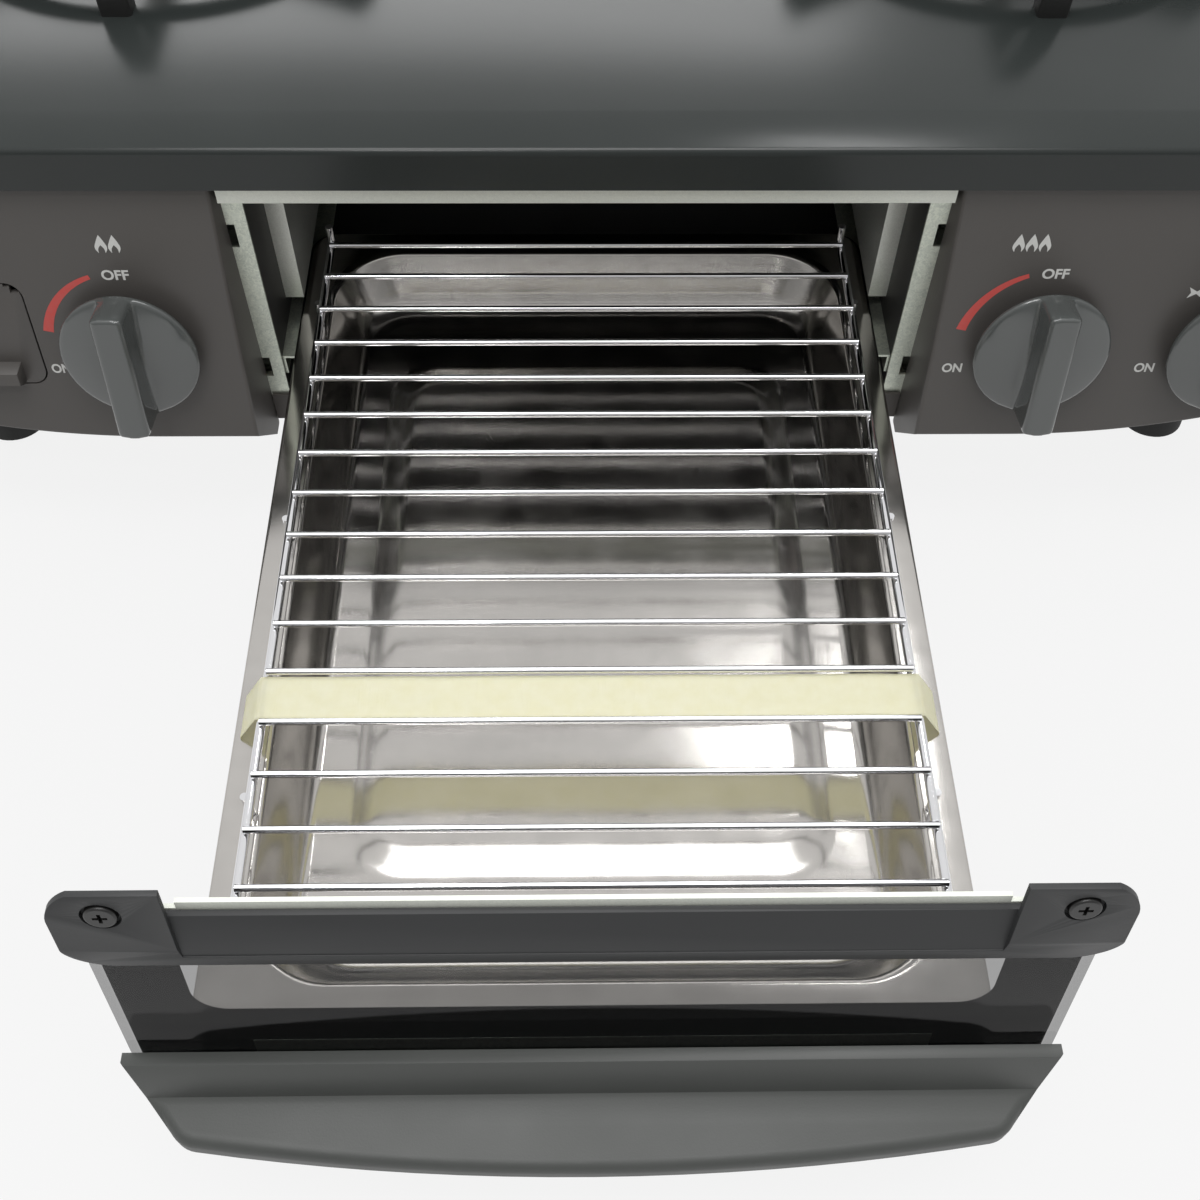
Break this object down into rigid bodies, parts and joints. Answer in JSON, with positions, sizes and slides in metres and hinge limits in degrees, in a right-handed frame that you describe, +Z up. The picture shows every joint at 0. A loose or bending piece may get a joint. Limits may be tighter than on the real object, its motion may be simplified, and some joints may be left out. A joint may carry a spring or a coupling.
{
  "type": "gas stove",
  "caption": "Table-top gas stove with two ringed burners, control panels with turning knobs, and a grill drawer with pan, wire rack and glass door pulled out between them.",
  "frame": {"origin": "on the ground under the centre of the stove with its drawer pulled out", "axes": "+X to the right as the user stands before it, +Y from the drawer's handle to the back, +Z up"},
  "size_m": [0.56, 0.719, 0.213],
  "materials": {
    "enamel_black": "gloss",
    "panel_plastic": "satin",
    "knob_plastic": "satin gloss",
    "black_plastic": "matte",
    "handle_plastic": "satin",
    "galvanised": "galvanised",
    "body_paint": "satin",
    "stainless": "polished",
    "chrome": "polished",
    "paper": "matte",
    "dark_glass": "clear",
    "aluminium": "cast",
    "brass": "machined",
    "steel": "plain",
    "cast_black": "enamelled",
    "rubber": "matte",
    "battery_skin": "satin",
    "ceramic": "glazed"
  },
  "bodies": {
    "stove": {"top_plate": "enamel_black", "body_shell": "body_paint", "base_pan": "galvanised", "feet": "rubber", "front_frame": "galvanised", "front_rail": "galvanised", "front_sill": "panel_plastic", "battery_case": "black_plastic", "battery_cells": "battery_skin", "igniter_box": "black_plastic", "nozzles": "brass", "gas_manifold": "steel", "gas_inlet": "brass", "burner_stands": "galvanised", "electrodes": "ceramic", "thermocouples": "steel", "exhaust_duct": "galvanised", "grill_case": "galvanised", "drawer_runners": "galvanised", "grill_burner": "aluminium", "grill_pipe": "steel", "control_panel_left": "panel_plastic", "control_panel_right": "panel_plastic", "burner_left": "aluminium", "burner_right": "aluminium", "sensor_spring_left": "steel", "sensor_spring_right": "steel", "heat_shield_left": "galvanised", "heat_shield_right": "galvanised", "valve_left": "aluminium", "valve_right": "aluminium", "valve_grill": "aluminium"},
    "drawer": {"grill_pan": "stainless", "door_glass": "dark_glass", "door_plate": "galvanised", "door_bar": "black_plastic", "door_screws": "steel", "door_handle": "handle_plastic", "door_bracket": "galvanised"},
    "rack": {"grill_rack": "chrome", "transit_tape": "paper"},
    "battery_door": {"battery_door": "panel_plastic"},
    "exhaust_cover": {"exhaust_cover": "enamel_black"},
    "burner_cap_left": {"burner_cap_left": "brass"},
    "temp_sensor_left": {"temp_sensor_left": "steel"},
    "drip_ring_left": {"drip_ring_left": "enamel_black"},
    "trivet_left": {"trivet_left": "cast_black"},
    "burner_cap_right": {"burner_cap_right": "brass"},
    "temp_sensor_right": {"temp_sensor_right": "steel"},
    "drip_ring_right": {"drip_ring_right": "enamel_black"},
    "trivet_right": {"trivet_right": "cast_black"},
    "valve_pin_left": {"valve_pin_left": "steel"},
    "knob_left": {"knob_left": "knob_plastic", "spindle_left": "steel"},
    "valve_pin_right": {"valve_pin_right": "steel"},
    "knob_right": {"knob_right": "knob_plastic", "spindle_right": "steel"},
    "valve_pin_grill": {"valve_pin_grill": "steel"},
    "knob_grill": {"knob_grill": "knob_plastic", "spindle_grill": "steel"}
  },
  "joints": [
    {"name": "drawer_slide", "type": "slide", "parent": "stove", "child": "drawer", "axis": [0, 1, 0], "range_m": [0, 0.24]},
    {"name": "rack_lift", "type": "slide", "parent": "drawer", "child": "rack", "axis": [0, 0, 1], "range_m": [0, 0.025]},
    {"name": "battery_door_hinge", "type": "hinge", "parent": "stove", "child": "battery_door", "pos_m": [-0.236, -0.07572, 0.1164], "axis": [-1, 0, 0], "range_deg": [0, 95]},
    {"name": "exhaust_cover_lift", "type": "slide", "parent": "stove", "child": "exhaust_cover", "axis": [0, 0, 1], "range_m": [0, 0.03]},
    {"name": "burner_cap_lift_left", "type": "slide", "parent": "stove", "child": "burner_cap_left", "axis": [0, 0, 1], "range_m": [0, 0.008]},
    {"name": "temp_sensor_push_left", "type": "slide", "parent": "stove", "child": "temp_sensor_left", "axis": [0, 0, -1], "range_m": [0, 0.008], "stiffness_N_per_m": 300, "springref_m": -0.004, "deforming": ["sensor_spring_left"]},
    {"name": "drip_ring_lift_left", "type": "slide", "parent": "stove", "child": "drip_ring_left", "axis": [0, 0, 1], "range_m": [0, 0.015]},
    {"name": "trivet_lift_left", "type": "slide", "parent": "drip_ring_left", "child": "trivet_left", "axis": [0, 0, 1], "range_m": [0, 0.04]},
    {"name": "burner_cap_lift_right", "type": "slide", "parent": "stove", "child": "burner_cap_right", "axis": [0, 0, 1], "range_m": [0, 0.008]},
    {"name": "temp_sensor_push_right", "type": "slide", "parent": "stove", "child": "temp_sensor_right", "axis": [0, 0, -1], "range_m": [0, 0.008], "stiffness_N_per_m": 300, "springref_m": -0.004, "deforming": ["sensor_spring_right"]},
    {"name": "drip_ring_lift_right", "type": "slide", "parent": "stove", "child": "drip_ring_right", "axis": [0, 0, 1], "range_m": [0, 0.015]},
    {"name": "trivet_lift_right", "type": "slide", "parent": "drip_ring_right", "child": "trivet_right", "axis": [0, 0, 1], "range_m": [0, 0.04]},
    {"name": "knob_push_left", "type": "slide", "parent": "stove", "child": "valve_pin_left", "axis": [0, 0.9816, -0.1908], "range_m": [0, 0.0035], "stiffness_N_per_m": 1500, "springref_m": -0.002},
    {"name": "knob_turn_left", "type": "hinge", "parent": "valve_pin_left", "child": "knob_left", "pos_m": [-0.1655, -0.08142, 0.0923], "axis": [0, -0.9816, 0.1908], "range_deg": [0, 90]},
    {"name": "knob_push_right", "type": "slide", "parent": "stove", "child": "valve_pin_right", "axis": [0, 0.9816, -0.1908], "range_m": [0, 0.0035], "stiffness_N_per_m": 1500, "springref_m": -0.002},
    {"name": "knob_turn_right", "type": "hinge", "parent": "valve_pin_right", "child": "knob_right", "pos_m": [0.1655, -0.08142, 0.0923], "axis": [0, -0.9816, 0.1908], "range_deg": [0, 90]},
    {"name": "knob_push_grill", "type": "slide", "parent": "stove", "child": "valve_pin_grill", "axis": [0, 0.9816, -0.1908], "range_m": [0, 0.0035], "stiffness_N_per_m": 1500, "springref_m": -0.002},
    {"name": "knob_turn_grill", "type": "hinge", "parent": "valve_pin_grill", "child": "knob_grill", "pos_m": [0.237, -0.08142, 0.0923], "axis": [0, -0.9816, 0.1908], "range_deg": [0, 90]}
  ]
}
